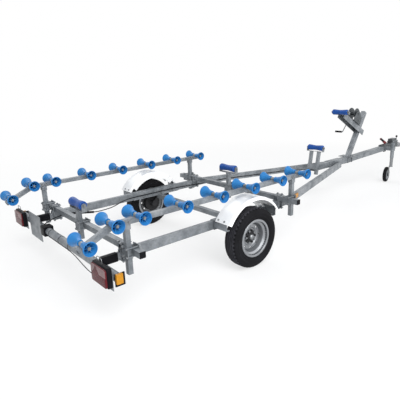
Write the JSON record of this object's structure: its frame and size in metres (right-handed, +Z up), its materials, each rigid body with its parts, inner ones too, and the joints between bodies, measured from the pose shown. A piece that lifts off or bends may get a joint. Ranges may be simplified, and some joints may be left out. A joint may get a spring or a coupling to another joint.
{
  "type": "boat trailer",
  "caption": "Single-axle boat trailer: galvanised frame with flared blue hull rollers on side beams, keel rollers, winch post, mudguards, light bar and jockey wheel.",
  "frame": {"origin": "on the ground, under the middle of the length and width", "axes": "+X forwards to the coupling, +Y to the left side, +Z up"},
  "size_m": [6.6172, 2.142, 1.3187],
  "materials": {
    "galvanised": "hot-dip galvanised, satin with faint spangle",
    "light_blue_roller": "moulded polyurethane, satin",
    "dark_blue_roller": "moulded rubber, satin",
    "tyre": "worn black rubber",
    "rim_paint": "silver paint, satin",
    "hub_iron": "dark painted casting",
    "guard_white": "white moulded plastic",
    "black_plastic": "black moulded plastic",
    "red_lens": "red lens",
    "amber_lens": "amber lens",
    "winch_grey": "zinc-plated grey",
    "bright_steel": "zinc-plated",
    "red_paint": "faded red paint"
  },
  "bodies": {
    "chassis": {"apex_sleeve": "galvanised", "axle_beam": "galvanised", "axle_saddles": "galvanised", "beam_posts": "galvanised", "coupling_body": "winch_grey", "coupling_head": "bright_steel", "cross_members": "galvanised", "drawbar": "galvanised", "end_caps": "black_plastic", "guard_brackets": "galvanised", "handbrake_lever": "red_paint", "jockey_tube": "galvanised", "keel_brackets": "galvanised", "lamp_bodies": "black_plastic", "lamp_lenses": "red_lens", "lamp_plates": "galvanised", "light_bar": "galvanised", "mudguards": "guard_white", "post_clamps": "galvanised", "roller_beams": "galvanised", "roller_pins": "bright_steel", "side_markers": "amber_lens", "side_rails": "galvanised", "swing_arms": "hub_iron", "winch_arm": "galvanised", "winch_frame": "winch_grey", "winch_post": "galvanised", "wiring": "black_plastic"},
    "wheel_left": {"hub_left": "hub_iron", "rim_left": "rim_paint", "tyre_left": "tyre"},
    "wheel_right": {"hub_right": "hub_iron", "rim_right": "rim_paint", "tyre_right": "tyre"},
    "roller_left_1": {"roller_left_1": "light_blue_roller"},
    "roller_left_2": {"roller_left_2": "light_blue_roller"},
    "roller_left_3": {"roller_left_3": "light_blue_roller"},
    "roller_left_4": {"roller_left_4": "light_blue_roller"},
    "roller_left_5": {"roller_left_5": "light_blue_roller"},
    "roller_left_6": {"roller_left_6": "light_blue_roller"},
    "roller_left_7": {"roller_left_7": "light_blue_roller"},
    "roller_left_8": {"roller_left_8": "light_blue_roller"},
    "roller_right_1": {"roller_right_1": "light_blue_roller"},
    "roller_right_2": {"roller_right_2": "light_blue_roller"},
    "roller_right_3": {"roller_right_3": "light_blue_roller"},
    "roller_right_4": {"roller_right_4": "light_blue_roller"},
    "roller_right_5": {"roller_right_5": "light_blue_roller"},
    "roller_right_6": {"roller_right_6": "light_blue_roller"},
    "roller_right_7": {"roller_right_7": "light_blue_roller"},
    "roller_right_8": {"roller_right_8": "light_blue_roller"},
    "keel_roller_rear": {"keel_roller_rear": "dark_blue_roller"},
    "keel_roller_mid": {"keel_roller_mid": "dark_blue_roller"},
    "keel_roller_front": {"keel_roller_front": "dark_blue_roller"},
    "bow_roller": {"bow_roller": "dark_blue_roller"},
    "drum": {"winch_drum": "winch_grey"},
    "crank": {"winch_crank": "bright_steel", "crank_grip": "black_plastic"},
    "jockey_leg": {"jockey_leg": "bright_steel"},
    "jockey_fork": {"jockey_fork": "bright_steel"},
    "jockey_wheel": {"jockey_wheel": "tyre"}
  },
  "joints": [
    {"name": "left_wheel_spin", "type": "hinge", "parent": "chassis", "child": "wheel_left", "pos_m": [-1.63537, 0.752, 0.289], "axis": [0, 1, 0], "continuous": true},
    {"name": "right_wheel_spin", "type": "hinge", "parent": "chassis", "child": "wheel_right", "pos_m": [-1.63537, -0.98, 0.289], "axis": [0, 1, 0], "continuous": true},
    {"name": "roller_left_1_spin", "type": "hinge", "parent": "chassis", "child": "roller_left_1", "pos_m": [-3.25661, 0.711, 0.64205], "axis": [0, 1, 0], "continuous": true},
    {"name": "roller_left_2_spin", "type": "hinge", "parent": "chassis", "child": "roller_left_2", "pos_m": [-3.04226, 0.711, 0.74315], "axis": [0, 1, 0], "continuous": true},
    {"name": "roller_left_3_spin", "type": "hinge", "parent": "chassis", "child": "roller_left_3", "pos_m": [-2.8251, 0.711, 0.75428], "axis": [0, 1, 0], "continuous": true},
    {"name": "roller_left_4_spin", "type": "hinge", "parent": "chassis", "child": "roller_left_4", "pos_m": [-2.44016, 0.711, 0.76133], "axis": [0, 1, 0], "continuous": true},
    {"name": "roller_left_5_spin", "type": "hinge", "parent": "chassis", "child": "roller_left_5", "pos_m": [-2.05523, 0.711, 0.76839], "axis": [0, 1, 0], "continuous": true},
    {"name": "roller_left_6_spin", "type": "hinge", "parent": "chassis", "child": "roller_left_6", "pos_m": [-1.67029, 0.711, 0.77544], "axis": [0, 1, 0], "continuous": true},
    {"name": "roller_left_7_spin", "type": "hinge", "parent": "chassis", "child": "roller_left_7", "pos_m": [-1.28536, 0.711, 0.7825], "axis": [0, 1, 0], "continuous": true},
    {"name": "roller_left_8_spin", "type": "hinge", "parent": "chassis", "child": "roller_left_8", "pos_m": [-0.90042, 0.711, 0.78955], "axis": [0, 1, 0], "continuous": true},
    {"name": "roller_right_1_spin", "type": "hinge", "parent": "chassis", "child": "roller_right_1", "pos_m": [-3.25661, -0.939, 0.64205], "axis": [0, 1, 0], "continuous": true},
    {"name": "roller_right_2_spin", "type": "hinge", "parent": "chassis", "child": "roller_right_2", "pos_m": [-3.04226, -0.939, 0.74315], "axis": [0, 1, 0], "continuous": true},
    {"name": "roller_right_3_spin", "type": "hinge", "parent": "chassis", "child": "roller_right_3", "pos_m": [-2.8251, -0.939, 0.75428], "axis": [0, 1, 0], "continuous": true},
    {"name": "roller_right_4_spin", "type": "hinge", "parent": "chassis", "child": "roller_right_4", "pos_m": [-2.44016, -0.939, 0.76133], "axis": [0, 1, 0], "continuous": true},
    {"name": "roller_right_5_spin", "type": "hinge", "parent": "chassis", "child": "roller_right_5", "pos_m": [-2.05523, -0.939, 0.76839], "axis": [0, 1, 0], "continuous": true},
    {"name": "roller_right_6_spin", "type": "hinge", "parent": "chassis", "child": "roller_right_6", "pos_m": [-1.67029, -0.939, 0.77544], "axis": [0, 1, 0], "continuous": true},
    {"name": "roller_right_7_spin", "type": "hinge", "parent": "chassis", "child": "roller_right_7", "pos_m": [-1.28536, -0.939, 0.7825], "axis": [0, 1, 0], "continuous": true},
    {"name": "roller_right_8_spin", "type": "hinge", "parent": "chassis", "child": "roller_right_8", "pos_m": [-0.90042, -0.939, 0.78955], "axis": [0, 1, 0], "continuous": true},
    {"name": "keel_roller_rear_spin", "type": "hinge", "parent": "chassis", "child": "keel_roller_rear", "pos_m": [-2.91696, -0.114, 0.69158], "axis": [0, 1, 0], "continuous": true},
    {"name": "keel_roller_mid_spin", "type": "hinge", "parent": "chassis", "child": "keel_roller_mid", "pos_m": [-1.0828, -0.114, 0.7542], "axis": [0, 1, 0], "continuous": true},
    {"name": "keel_roller_front_spin", "type": "hinge", "parent": "chassis", "child": "keel_roller_front", "pos_m": [0.6515, -0.114, 0.80799], "axis": [0, 1, 0], "continuous": true},
    {"name": "bow_roller_spin", "type": "hinge", "parent": "chassis", "child": "bow_roller", "pos_m": [1.23078, -0.114, 1.27282], "axis": [0, 1, 0], "continuous": true},
    {"name": "drum_spin", "type": "hinge", "parent": "chassis", "child": "drum", "pos_m": [1.63344, -0.114, 1.23076], "axis": [0, 1, 0], "continuous": true},
    {"name": "crank_spin", "type": "hinge", "parent": "chassis", "child": "crank", "pos_m": [1.6721, -0.114, 1.12585], "axis": [0, 1, 0], "continuous": true},
    {"name": "jockey_lift", "type": "slide", "parent": "chassis", "child": "jockey_leg", "axis": [-0.0183, 0, 0.9998], "range_m": [0, 0.13]},
    {"name": "jockey_swivel", "type": "hinge", "parent": "jockey_leg", "child": "jockey_fork", "pos_m": [2.72844, -0.274, 0.28497], "axis": [-0.0183, 0, 0.9998], "continuous": true},
    {"name": "jockey_wheel_spin", "type": "hinge", "parent": "jockey_fork", "child": "jockey_wheel", "pos_m": [2.71887, -0.21019, 0.13004], "axis": [-0.1908, 0.9816, -0.0035], "continuous": true}
  ],
  "couplings": [
    {"joint": "crank_spin", "follows": "drum_spin", "ratio": -3.7763}
  ]
}
